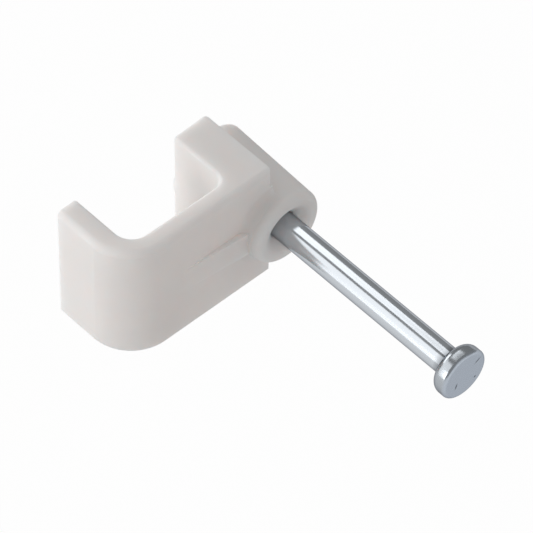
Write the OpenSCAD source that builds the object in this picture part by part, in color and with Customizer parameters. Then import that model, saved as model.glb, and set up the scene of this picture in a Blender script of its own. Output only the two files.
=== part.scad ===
// Nail-in clip for flat cable: a moulded saddle that straddles the cable, with a boss
// on one leg that carries the nail, and the nail that is driven through it into the wall.
// X runs across the cable from the plain leg to the nail, Y into the wall, Z along the cable.
// The origin is on the nail's axis, in the plane of the wall.

/* [Cable channel] */
// Width of the channel, across the cable
channel_w = 8.2; // [6:0.1:14]
// Depth of the channel, from the wall to the bridge
channel_d = 5.2; // [4.6:0.1:9]
// Fillet in the channel's corner at the plain leg
plain_fillet_r = 1.4; // [0.5:0.1:2]
// Fillet in the channel's corner at the nail leg
nail_fillet_r = 0.9; // [0.5:0.1:1.6]

/* [Saddle] */
// Length of the clip along the cable
clip_l = 10.1; // [8.4:0.1:14]
// Thickness of the plain leg
plain_leg_t = 1.7; // [1.2:0.05:2.4]
// Thickness of the leg that carries the boss
nail_leg_t = 2.9; // [2:0.05:4]
// Thickness of the bridge over the cable
bridge_t = 1.45; // [1.1:0.05:2.2]
// Radius round the outside of the plain leg's corner
shoulder_r = 3.4; // [2:0.1:3.6]
// Gap left between the nail leg's tip and the wall, at the leg's outer face
nail_tip_gap = 0.15; // [0.05:0.05:0.5]
// Extra gap at the nail leg's inner face, from the slant of its tip
tip_slant = 0.1; // [0.05:0.05:0.6]
// Radius on the corners of the legs' tips
tip_r = 0.1; // [0.05:0.05:0.4]
// Radius on the nail leg's tip, at its outer face
nail_tip_r = 0.3; // [0.2:0.05:0.8]
// Radius on the front corner of the nail leg
front_corner_r = 0.4; // [0.2:0.05:0.8]
// Rounding along the saddle's outer edges
edge_r = 0.5; // [0.2:0.05:0.6]
// Rounding along the edges of the channel
channel_edge_r = 0.25; // [0.1:0.05:0.3]

/* [Nail boss] */
// Distance from the channel to the nail's axis
nail_offset = 3.2; // [3.15:0.05:4]
// Diameter of the boss at the wall
boss_d = 6.2; // [5.8:0.1:6.3]
// Diameter of the boss at its rim
boss_rim_d = 5.7; // [5.5:0.1:6.2]
// How far the boss stands proud of the bridge
boss_proud = 1.35; // [1.1:0.05:2]
// Radius on both sides of the boss's rim
boss_rim_r = 0.55; // [0.3:0.05:0.6]
// Width of the flat on top of the rim
boss_rim_w = 0.2; // [0.1:0.05:0.3]
// Rounding on the boss's end at the wall
boss_end_r = 0.1; // [0.05:0.05:0.6]
// Slope of the cone inside the rim that leads the nail into the bore, in degrees
lead_in_angle = 38; // [20:1:40]
// Fillet where the boss rises from the bridge
boss_root_r = 0.7; // [0.2:0.05:0.75]

/* [Gusset] */
// Reach of the gusset along the bridge, from the nail's axis
gusset_reach = 8; // [5:0.1:9]
// Height of the gusset at the boss's side
gusset_h = 0.5; // [0.3:0.05:0.8]
// Width of the gusset along the cable
gusset_w = 2; // [1.2:0.1:3.6]

/* [Nail] */
// Diameter of the nail's shank
nail_d = 2; // [1.6:0.05:2.1]
// Length of the nail over its head
nail_l = 24; // [18:0.5:30]
// Diameter of the nail's head
head_d = 3.8; // [3.6:0.1:4.4]
// Thickness of the nail's head
head_t = 1.3; // [1:0.05:1.6]
// Rounding on the back of the head
head_back_r = 0.65; // [0.3:0.05:0.65]
// Rounding round the struck face
head_face_r = 0.25; // [0.05:0.05:0.3]
// Fillet between the shank and the head
head_neck_r = 0.2; // [0.1:0.05:0.25]
// Length of the nail's point
point_l = 2.6; // [1.5:0.1:4]
// Width of the blunt end of the point
point_tip_d = 0.2; // [0.1:0.05:0.4]
// How far the point stays inside the boss before the nail is driven
point_inset = 0.55; // [0.1:0.05:2]
// Clearance round the shank in the bore
nail_fit = 0.03; // [0.02:0.01:0.08]

/* [Hidden] */
$fn = 96;
eps = 0.2;
// Arcs stop just short of tangent, so that a rounding ends in a faint crease
arc_ease = 1.004;

nail_leg_x = -nail_offset;
nail_leg_out_x = nail_leg_x + nail_leg_t;
plain_leg_x = nail_leg_x - channel_w;
plain_leg_out_x = plain_leg_x - plain_leg_t;
bridge_in_y = -channel_d;
front_y = -(channel_d + bridge_t);
boss_l = channel_d + bridge_t + boss_proud;
half_l = clip_l / 2;
bore_d = nail_d + 2 * nail_fit;
boss_draft = (boss_d - boss_rim_d) / 2 / boss_l;
boss_mid_r = boss_d / 2 - boss_draft * (channel_d + bridge_t);
rim_x = boss_rim_d / 2 - boss_rim_r;
rim_in_x = rim_x - boss_rim_w;
rim_h = boss_l - boss_rim_r;
lead_in_x = rim_in_x - boss_rim_r * sin(lead_in_angle);
lead_in_h = rim_h + boss_rim_r * cos(lead_in_angle);
gusset_root_x = -rim_x;

// Corner of a profile outside its rounding arc, with the corner at the origin
module corner_waste(r) {
    difference() {
        translate([-r, -r])
            square(r + eps);
        translate([-r, -r])
            circle(r * arc_ease);
    }
}

// Web that fills an inner corner up to its fillet arc, with the corner at the origin
module corner_web(r) {
    difference() {
        translate([-eps, -eps])
            square(r + eps);
        translate([r, r])
            circle(r * arc_ease);
    }
}

// Saddle seen along the cable: two legs, the bridge, fillets and rounded corners
module saddle_profile() {
    difference() {
        union() {
            translate([plain_leg_out_x, front_y])
                square([plain_leg_t, -front_y]);
            translate([plain_leg_out_x, front_y])
                square([nail_leg_out_x - plain_leg_out_x, bridge_t]);
            polygon([
                [nail_leg_x, front_y],
                [nail_leg_out_x, front_y],
                [nail_leg_out_x, -nail_tip_gap],
                [nail_leg_x, -nail_tip_gap - tip_slant],
            ]);
            translate([plain_leg_x, bridge_in_y])
                corner_web(plain_fillet_r);
            translate([nail_leg_x, bridge_in_y])
                mirror([1, 0])
                    corner_web(nail_fillet_r);
        }
        translate([plain_leg_out_x, front_y])
            rotate(180)
                corner_waste(shoulder_r);
        translate([nail_leg_out_x, front_y])
            rotate(-90)
                corner_waste(front_corner_r);
        translate([plain_leg_out_x, 0])
            rotate(90)
                corner_waste(tip_r);
        translate([plain_leg_x, 0])
            corner_waste(tip_r);
        translate([nail_leg_x, -nail_tip_gap - tip_slant])
            rotate(90)
                corner_waste(tip_r);
        translate([nail_leg_out_x, -nail_tip_gap])
            corner_waste(nail_tip_r);
    }
}

// Sweep of the edge waste along X, on a face that looks towards +Y
module edge_waste_x(x_from, x_to, r) {
    translate([x_from, 0, half_l])
        rotate([90, 0, 90])
            linear_extrude(x_to - x_from)
                corner_waste(r);
}

// Sweep of the edge waste along Y, on a face that looks towards +X
module edge_waste_y(y_from, y_to, r) {
    translate([0, y_to, half_l])
        rotate([90, 0, 0])
            linear_extrude(y_to - y_from)
                corner_waste(r);
}

// Waste along the upper outer edge: plain leg, shoulder and front
module outer_edge_waste() {
    shoulder_x = plain_leg_out_x + shoulder_r;
    shoulder_y = front_y + shoulder_r;
    translate([plain_leg_out_x, 0, 0])
        mirror([1, 0, 0])
            edge_waste_y(shoulder_y, eps, edge_r);
    translate([shoulder_x, shoulder_y, half_l])
        rotate([0, 0, 180])
            rotate_extrude(angle = 90)
                translate([shoulder_r, 0])
                    corner_waste(edge_r);
    translate([0, front_y, 0])
        mirror([0, 1, 0])
            edge_waste_x(shoulder_x, nail_leg_out_x + eps, edge_r);
}

// Waste along the upper edge of the channel: both legs, both fillets and the bridge
module channel_edge_waste() {
    plain_arc = [plain_leg_x + plain_fillet_r, bridge_in_y + plain_fillet_r];
    nail_arc = [nail_leg_x - nail_fillet_r, bridge_in_y + nail_fillet_r];
    translate([plain_leg_x, 0, 0])
        edge_waste_y(plain_arc.y, eps, channel_edge_r);
    translate([plain_arc.x, plain_arc.y, half_l])
        rotate([0, 0, 180])
            rotate_extrude(angle = 90)
                translate([plain_fillet_r, 0])
                    mirror([1, 0])
                        corner_waste(channel_edge_r);
    translate([0, bridge_in_y, 0])
        edge_waste_x(plain_arc.x, nail_arc.x, channel_edge_r);
    translate([nail_arc.x, nail_arc.y, half_l])
        rotate([0, 0, 270])
            rotate_extrude(angle = 90)
                translate([nail_fillet_r, 0])
                    mirror([1, 0])
                        corner_waste(channel_edge_r);
    translate([nail_leg_x, 0, 0])
        mirror([1, 0, 0])
            edge_waste_y(nail_arc.y, eps, channel_edge_r);
}

module saddle() {
    difference() {
        translate([0, 0, -half_l])
            linear_extrude(clip_l)
                saddle_profile();
        for (end = [0, 1])
            mirror([0, 0, end]) {
                outer_edge_waste();
                channel_edge_waste();
            }
    }
}

// Turns a profile of radius and height above the wall about the nail's axis
module turned() {
    rotate([90, 0, 0])
        rotate_extrude()
            children();
}

// Tapered boss with a rounded rim, and a cone inside the rim that leads the nail in
module boss() {
    turned()
        difference() {
            union() {
                polygon([
                    [0, 0],
                    [boss_d / 2, 0],
                    [boss_rim_d / 2, rim_h],
                    [rim_x, boss_l],
                    [rim_in_x, boss_l],
                    [lead_in_x, lead_in_h],
                    [0, lead_in_h - lead_in_x * tan(lead_in_angle)],
                ]);
                for (x = [rim_in_x, rim_x])
                    translate([x, rim_h])
                        circle(boss_rim_r * arc_ease);
            }
            translate([boss_d / 2, 0])
                rotate(-90)
                    corner_waste(boss_end_r);
        }
}

// Fillet round the boss where it rises from the bridge, as far as the leg's outer face
module boss_root() {
    intersection() {
        turned()
            translate([boss_mid_r, -front_y])
                corner_web(boss_root_r);
        translate([-boss_d, front_y - boss_proud, -boss_d])
            cube([boss_d + nail_leg_out_x, boss_proud + bridge_t, 2 * boss_d]);
    }
}

// Gusset that braces the boss: it slopes down and runs out along the bridge
module gusset() {
    translate([0, 0, -gusset_w / 2])
        linear_extrude(gusset_w)
            polygon([
                [-gusset_reach, front_y],
                [gusset_root_x, front_y - gusset_h],
                [gusset_root_x, front_y + eps],
                [-gusset_reach, front_y + eps],
            ]);
}

// The saddle, boss and gusset are one moulding with a bore for the nail
module clip() {
    color("ghostwhite")
        difference() {
            union() {
                saddle();
                boss();
                boss_root();
                gusset();
            }
            translate([0, eps, 0])
                rotate([90, 0, 0])
                    cylinder(h = boss_l + 2 * eps, d = bore_d);
        }
}

// Drawn wire nail: ground point, plain shank and an upset head
module nail() {
    color("lightsteelblue")
        turned()
            translate([0, point_inset]) {
                polygon([
                    [0, 0],
                    [point_tip_d / 2, 0],
                    [nail_d / 2, point_l],
                    [0, point_l],
                ]);
                translate([0, point_l])
                    square([nail_d / 2, nail_l - head_t - point_l]);
                translate([0, nail_l - head_t])
                    head_profile();
            }
}

// Half section of the head: round back, straight rim, eased face and a filleted neck
module head_profile() {
    translate([nail_d / 2, 0])
        mirror([0, 1])
            corner_web(head_neck_r);
    difference() {
        square([head_d / 2, head_t]);
        translate([head_d / 2, 0])
            rotate(-90)
                corner_waste(head_back_r);
        translate([head_d / 2, head_t])
            corner_waste(head_face_r);
    }
}

clip();
nail();
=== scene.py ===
import bpy
import numpy as np
from mathutils import Matrix, Vector


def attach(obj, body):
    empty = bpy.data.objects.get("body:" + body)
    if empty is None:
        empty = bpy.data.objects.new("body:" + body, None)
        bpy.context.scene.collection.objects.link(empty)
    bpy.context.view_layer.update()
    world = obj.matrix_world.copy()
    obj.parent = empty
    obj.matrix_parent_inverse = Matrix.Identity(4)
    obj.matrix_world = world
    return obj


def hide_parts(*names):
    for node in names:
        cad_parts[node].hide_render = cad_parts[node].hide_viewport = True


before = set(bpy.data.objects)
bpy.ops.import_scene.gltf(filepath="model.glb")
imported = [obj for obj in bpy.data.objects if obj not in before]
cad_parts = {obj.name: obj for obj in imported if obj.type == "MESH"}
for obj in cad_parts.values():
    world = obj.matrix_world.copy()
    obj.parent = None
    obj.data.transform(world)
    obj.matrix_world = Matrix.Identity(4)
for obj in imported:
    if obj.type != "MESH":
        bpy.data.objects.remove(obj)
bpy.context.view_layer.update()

# CLIP
# The saddle, its nail boss and its gusset are one injection moulding in white polypropylene.
# Light enters the waxy plastic and spreads a little before it comes out, so edges look soft.
MM = 0.001


def srgb(code):
    """Linear colour of an sRGB hex code, by the standard curve, with an alpha of 1."""
    v = np.array([int(code[i:i + 2], 16) for i in (1, 3, 5)]) / 255
    linear = np.where(v <= 0.04045, v / 12.92, ((v + 0.055) / 1.055) ** 2.4)
    return (*linear.tolist(), 1.0)


def add(tree, kind, settings=None, links=None):
    """Adds one shader node, sets its properties and sockets by name, and links its inputs."""
    node = tree.nodes.new(kind)
    for name, value in (settings or {}).items():
        if name in node.inputs:
            node.inputs[name].default_value = value
        else:
            setattr(node, name, value)
    for name, source in (links or {}).items():
        tree.links.new(source, node.inputs[name])
    return node


def new_material(name):
    """An empty node material and its tree."""
    material = bpy.data.materials.new(name)
    material.use_nodes = True
    material.node_tree.nodes.clear()
    return material, material.node_tree


# Polypropylene has an IOR of 1.49. The spark-eroded mould leaves a fine matt skin, whose grain is
# drawn coarse enough to show, and the flow of the melt leaves patches of a slightly paler white.
skin_grain_mm = 0.12
skin_relief_mm = 0.01
flow_patch_mm = 3.5
scatter_mm = 1.6
clip_plastic, tree = new_material("moulded_white_polypropylene")
place = add(tree, "ShaderNodeTexCoord").outputs["Object"]
flow = add(tree, "ShaderNodeTexNoise", {"Scale": 1 / (flow_patch_mm * MM), "Detail": 2.0},
           {"Vector": place})
tint = add(tree, "ShaderNodeMix",
           {"data_type": "RGBA", "A": srgb("#efecea"), "B": srgb("#e9e6e4")},
           {"Factor": flow.outputs["Fac"]})
grain = add(tree, "ShaderNodeTexNoise", {"Scale": 1 / (skin_grain_mm * MM), "Detail": 3.0},
            {"Vector": place})
sheen = add(tree, "ShaderNodeMapRange", {"To Min": 0.64, "To Max": 0.76},
            {"Value": grain.outputs["Fac"]})
relief = add(tree, "ShaderNodeBump", {"Strength": 0.25, "Distance": skin_relief_mm * MM},
             {"Height": grain.outputs["Fac"]})
plastic = add(tree, "ShaderNodeBsdfPrincipled",
              {"IOR": 1.49, "Subsurface Weight": 1.0, "Subsurface Radius": (1.0, 0.85, 0.8),
               "Subsurface Scale": scatter_mm * MM},
              {"Base Color": tint.outputs["Result"], "Roughness": sheen.outputs["Result"],
               "Normal": relief.outputs["Normal"]})
add(tree, "ShaderNodeOutputMaterial", links={"Surface": plastic.outputs["BSDF"]})
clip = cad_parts["clip"]
clip.data.materials.clear()
clip.data.materials.append(clip_plastic)

# NAIL
# A steel nail cut from 2 mm drawn wire, with a cold-upset flat head and bright zinc plating.
# It sits in the boss's bore, with its point just inside the end that goes to the wall.
shank_r = 1.0
head_r = 1.9
head_t = 1.3
nail_l = 24.0
point_inset = 0.55
point_l = 2.6
tip_r = 0.1
neck_r = 0.2
back_r = 0.65
face_r = 0.25
face_gap = 0.02  # from the face's rounded edge to the first ring on the flat
turns = 192
# Strength of the painted shade that darkens the neck under the head.
neck_painted_shade = 0.75
# Tool marks struck into the face: middle x and z, half length, half width, turn and depth.
nicks = np.array([(1.14, 0.61, 0.22, 0.06, 30.0, 0.05), (-0.72, -0.57, 0.2, 0.06, 75.0, 0.05),
                  (0.97, -0.88, 0.07, 0.07, 0.0, 0.03)])


def arc(centre, radius, start, stop, count):
    """Points on a circle arc in the plane of radius and height, from start to stop degrees."""
    a = np.radians(np.linspace(start, stop, count))
    return np.c_[centre[0] + radius * np.cos(a), centre[1] + radius * np.sin(a)]


def line(start, stop, count):
    """Evenly spaced points from start to stop, without the last one."""
    t = np.linspace(0, 1, count, endpoint=False)[:, None]
    return np.array(start) * (1 - t) + np.array(stop) * t


def turned_nail():
    """Surface (height, angle): the profile from point to face turned about the nail's axis.
    Each nick on the face sinks in by depth * exp(-(along / length)^2 - (across / width)^2).
    The last value returned darkens the colour: it is the sum of these exponentials, which colour
    the nicks dark, and the painted shade neck_painted_shade * exp(-((height - neck) / neck_r)^2)
    round the neck under the head."""
    under = nail_l - head_t
    profile = np.vstack([
        line((tip_r / 2, 0), (tip_r, 0), 2),
        line((tip_r, 0), (shank_r, point_l), 12),
        line((shank_r, point_l), (shank_r, under - neck_r), 40),
        arc((shank_r + neck_r, under - neck_r), neck_r, 180, 90, 9),
        arc((head_r - back_r, under + back_r), back_r, -90, 0, 21),
        arc((head_r - face_r, nail_l - face_r), face_r, 0, 90, 13),
        line((head_r - face_r - face_gap, nail_l), (0, nail_l), 70),
    ])
    angle = np.linspace(0, 2 * np.pi, turns, endpoint=False)
    radius, height = profile[:, :1], profile[:, 1:] + 0 * angle
    x, z = radius * np.cos(angle), radius * np.sin(angle)
    on_face = np.isclose(height, nail_l)
    # Painted shade round the neck under the head; the nicks add their dark colour below.
    darkening = neck_painted_shade * np.exp(-((height - under + neck_r / 2) / neck_r) ** 2)
    for middle_x, middle_z, length, width, turn, depth in nicks:
        c, s = np.cos(np.radians(turn)), np.sin(np.radians(turn))
        along = ((x - middle_x) * c + (z - middle_z) * s) / length
        across = ((z - middle_z) * c - (x - middle_x) * s) / width
        dent = on_face * np.exp(-along ** 2 - across ** 2)
        height = height - depth * dent
        darkening = darkening + dent
    return x, -(point_inset + height), z, darkening


x, y, z, darkening = turned_nail()
rows, columns = x.shape
index = np.arange(rows * columns).reshape(rows, columns)
ring = np.roll(index, -1, axis=1)
quads = np.stack([index[:-1], index[1:], ring[1:], ring[:-1]], axis=-1).reshape(-1, 4)
poles = [(0, -point_inset, 0), (0, -point_inset - nail_l, 0)]
first_fan = np.stack([index[0], ring[0], np.full(columns, rows * columns)], axis=-1)
last_fan = np.stack([ring[-1], index[-1], np.full(columns, rows * columns + 1)], axis=-1)
points = np.vstack([np.stack([x, y, z], axis=-1).reshape(-1, 3), poles]) * MM
nail_mesh = bpy.data.meshes.new("nail_turned")
nail_mesh.from_pydata(points, [], quads.tolist() + first_fan.tolist() + last_fan.tolist())
nail_mesh.shade_smooth()
# The darkening attribute: dark nicks on the face and painted shade round the neck.
darkening_values = nail_mesh.attributes.new("nick", "FLOAT", "POINT")
darkening_values.data.foreach_set("value", np.r_[darkening.ravel(), 0, 0])
nail = bpy.data.objects.new("nail_turned", nail_mesh)
bpy.context.scene.collection.objects.link(nail)

# Bright zinc plating over drawn wire: a bluish mirror that darkens at a glancing angle, with faint
# lines along the wire that are drawn wide enough to show. The upset head is duller and darker, its
# struck face is mottled, its nicks are coloured dark grey, and painted shade darkens the neck.
wire_line_mm = 0.06
wire_run_mm = 3.0
wire_relief_mm = 0.004
face_mottle_mm = 0.3
face_fade_mm = 0.05
head_rough = 0.21
nail_zinc, tree = new_material("bright_zinc_plated_steel")
place = add(tree, "ShaderNodeTexCoord").outputs["Object"]
along = add(tree, "ShaderNodeMapping", {"Scale": (1.0, wire_line_mm / wire_run_mm, 1.0)},
            {"Vector": place})
lines = add(tree, "ShaderNodeTexNoise", {"Scale": 1 / (wire_line_mm * MM), "Detail": 2.0},
            {"Vector": along.outputs["Vector"]})
mottle = add(tree, "ShaderNodeTexNoise", {"Scale": 1 / (face_mottle_mm * MM), "Detail": 3.0},
             {"Vector": place})
depth = add(tree, "ShaderNodeSeparateXYZ", links={"Vector": place})
struck = add(tree, "ShaderNodeMapRange",
             {"From Min": -(point_inset + nail_l - face_r) * MM, "To Min": 0.0,
              "From Max": -(point_inset + nail_l - face_fade_mm) * MM, "To Max": 1.0},
             {"Value": depth.outputs["Y"]})
upset = add(tree, "ShaderNodeMapRange",
            {"From Min": -(point_inset + nail_l - head_t - neck_r) * MM, "To Min": 0.0,
             "From Max": -(point_inset + nail_l - head_t + neck_r) * MM, "To Max": 1.0},
            {"Value": depth.outputs["Y"]})
bright = add(tree, "ShaderNodeMapRange", {"To Min": 0.12, "To Max": 0.2},
             {"Value": lines.outputs["Fac"]})
dull = add(tree, "ShaderNodeMapRange", {"To Min": 0.2, "To Max": 0.36},
           {"Value": mottle.outputs["Fac"]})
rim = add(tree, "ShaderNodeMix", {"data_type": "FLOAT", "B": head_rough},
          {"Factor": upset.outputs["Result"], "A": bright.outputs["Result"]})
gloss = add(tree, "ShaderNodeMix", {"data_type": "FLOAT"},
            {"Factor": struck.outputs["Result"], "A": rim.outputs["Result"],
             "B": dull.outputs["Result"]})
side = add(tree, "ShaderNodeMix",
           {"data_type": "RGBA", "A": srgb("#c5cacf"), "B": srgb("#adb2b7")},
           {"Factor": upset.outputs["Result"]})
tone = add(tree, "ShaderNodeMix", {"data_type": "RGBA", "B": srgb("#b2bac4")},
           {"Factor": struck.outputs["Result"], "A": side.outputs["Result"]})
nick = add(tree, "ShaderNodeAttribute", {"attribute_name": "nick"})
# Darkens the colour to grey in the nicks, and as painted shade round the neck.
darkened_tone = add(tree, "ShaderNodeMix", {"data_type": "RGBA", "B": srgb("#3c3f45")},
            {"Factor": nick.outputs["Fac"], "A": tone.outputs["Result"]})
relief = add(tree, "ShaderNodeBump", {"Strength": 0.15, "Distance": wire_relief_mm * MM},
             {"Height": lines.outputs["Fac"]})
zinc = add(tree, "ShaderNodeBsdfPrincipled",
           {"Metallic": 1.0, "Specular Tint": (0.4, 0.4, 0.42, 1.0)},
           {"Base Color": darkened_tone.outputs["Result"], "Roughness": gloss.outputs["Result"],
            "Normal": relief.outputs["Normal"]})
add(tree, "ShaderNodeOutputMaterial", links={"Surface": zinc.outputs["BSDF"]})
nail_mesh.materials.append(nail_zinc)
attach(nail, "fixing")
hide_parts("nail")

# FLOOR
# A wide sheet of matt white card well below the clip, which hangs free as it does on a wall.
# The card shows white to the camera and to the metal, and it still takes the clip's shadow.
floor_z = -40.0
floor_half = 3000.0
white_share = 0.97  # the rest is lit card, which takes the shadow
floor_mesh = bpy.data.meshes.new("floor")
floor_corners = np.array([(-floor_half, -floor_half, floor_z), (floor_half, -floor_half, floor_z),
                          (floor_half, floor_half, floor_z), (-floor_half, floor_half, floor_z)])
floor_mesh.from_pydata(floor_corners * MM, [], [(0, 1, 2, 3)])
floor = bpy.data.objects.new("floor", floor_mesh)
bpy.context.scene.collection.objects.link(floor)
white_card, tree = new_material("white_card")
path = add(tree, "ShaderNodeLightPath")
seen = add(tree, "ShaderNodeMath", {"operation": "ADD"})
tree.links.new(path.outputs["Is Camera Ray"], seen.inputs[0])
tree.links.new(path.outputs["Is Glossy Ray"], seen.inputs[1])
shown = add(tree, "ShaderNodeMath", {"operation": "ADD", "use_clamp": True})
tree.links.new(seen.outputs["Value"], shown.inputs[0])
tree.links.new(path.outputs["Is Transmission Ray"], shown.inputs[1])
share = add(tree, "ShaderNodeMath", {"operation": "MULTIPLY"})
share.inputs[1].default_value = white_share
tree.links.new(shown.outputs["Value"], share.inputs[0])
card = add(tree, "ShaderNodeBsdfDiffuse", {"Color": srgb("#f4f4f4")})
glow = add(tree, "ShaderNodeEmission", {"Strength": 1.0})
mix = add(tree, "ShaderNodeMixShader", links={"Fac": share.outputs["Value"]})
tree.links.new(card.outputs["BSDF"], mix.inputs[1])
tree.links.new(glow.outputs["Emission"], mix.inputs[2])
add(tree, "ShaderNodeOutputMaterial", links={"Surface": mix.outputs["Shader"]})
floor_mesh.materials.append(white_card)

# LIGHT
# Soft boxes in a pale room. A strip high on the nail's side, a large box on the plain leg's side
# and a third box stand beyond the wall's plane. The main light is low on the plain leg's side, and
# a weak box in front fills in.
box_distance = 600.0
room_level = 0.36


def soft_box(name, around, turn, span, width, radiance):
    """An area lamp at turn degrees about the Y axis, from +X towards +Z, and around degrees
    towards +Y. It spans the given angles as seen from the clip and has the given radiance."""
    a, b = np.radians([turn, around])
    way = Vector((np.cos(a) * np.cos(b), np.sin(b), np.sin(a) * np.cos(b)))
    ring_way = Vector((-np.sin(a), 0, np.cos(a)))
    lamp = bpy.data.lights.new(name, "AREA")
    lamp.shape = "RECTANGLE"
    lamp.size = 2 * box_distance * MM * np.tan(np.radians(span / 2))
    lamp.size_y = 2 * box_distance * MM * np.tan(np.radians(width / 2))
    lamp.energy = np.pi * radiance * lamp.size * lamp.size_y
    lamp_object = bpy.data.objects.new(name, lamp)
    axes = Matrix((ring_way, way.cross(ring_way), way)).transposed().to_4x4()
    lamp_object.matrix_world = Matrix.Translation(way * box_distance * MM) @ axes
    lamp_object.visible_camera = False
    bpy.context.scene.collection.objects.link(lamp_object)


soft_box("box_over", around=28.0, turn=75.5, span=43.0, width=10.0, radiance=1.55)
soft_box("box_left", around=34.5, turn=152.5, span=61.0, width=41.0, radiance=1.16)
soft_box("box_back", around=70.0, turn=110.0, span=30.0, width=30.0, radiance=2.5)
soft_box("box_low", around=12.0, turn=168.0, span=26.0, width=13.0, radiance=6.2)
soft_box("box_front", around=-78.0, turn=60.0, span=50.0, width=50.0, radiance=0.5)
room = bpy.data.worlds.new("room")
room.use_nodes = True
room.node_tree.nodes["Background"].inputs["Color"].default_value = (1, 1, 1, 1)
room.node_tree.nodes["Background"].inputs["Strength"].default_value = room_level
bpy.context.scene.world = room

# CAMERA
# A long lens that looks down on the clip from the plain leg's front, with a slight roll.
# Its place, aim and focal length were fitted to the clip's straight edges and the nail.
azimuth, elevation, roll = np.radians([-43.36, 49.82, 0.97])
aim = Vector((-3.415, -9.512, 0.332)) * MM
reach = 293.0 * MM
focal_px, image_px, sensor_mm = 4496.8, 533, 36.0
back = Vector((np.sin(azimuth) * np.cos(elevation), -np.cos(azimuth) * np.cos(elevation),
               np.sin(elevation)))
level = Vector((0, 0, 1)).cross(back).normalized()
right = level * np.cos(roll) + back.cross(level) * np.sin(roll)
lens = bpy.data.cameras.new("camera")
lens.sensor_width = sensor_mm
lens.lens = focal_px / image_px * sensor_mm
lens.clip_start = 1 * MM
camera = bpy.data.objects.new("camera", lens)
camera.matrix_world = (Matrix.Translation(aim + back * reach)
                       @ Matrix((right, back.cross(right), back)).transposed().to_4x4())
bpy.context.scene.collection.objects.link(camera)
bpy.context.scene.camera = camera
bpy.context.scene.view_settings.view_transform = "Standard"
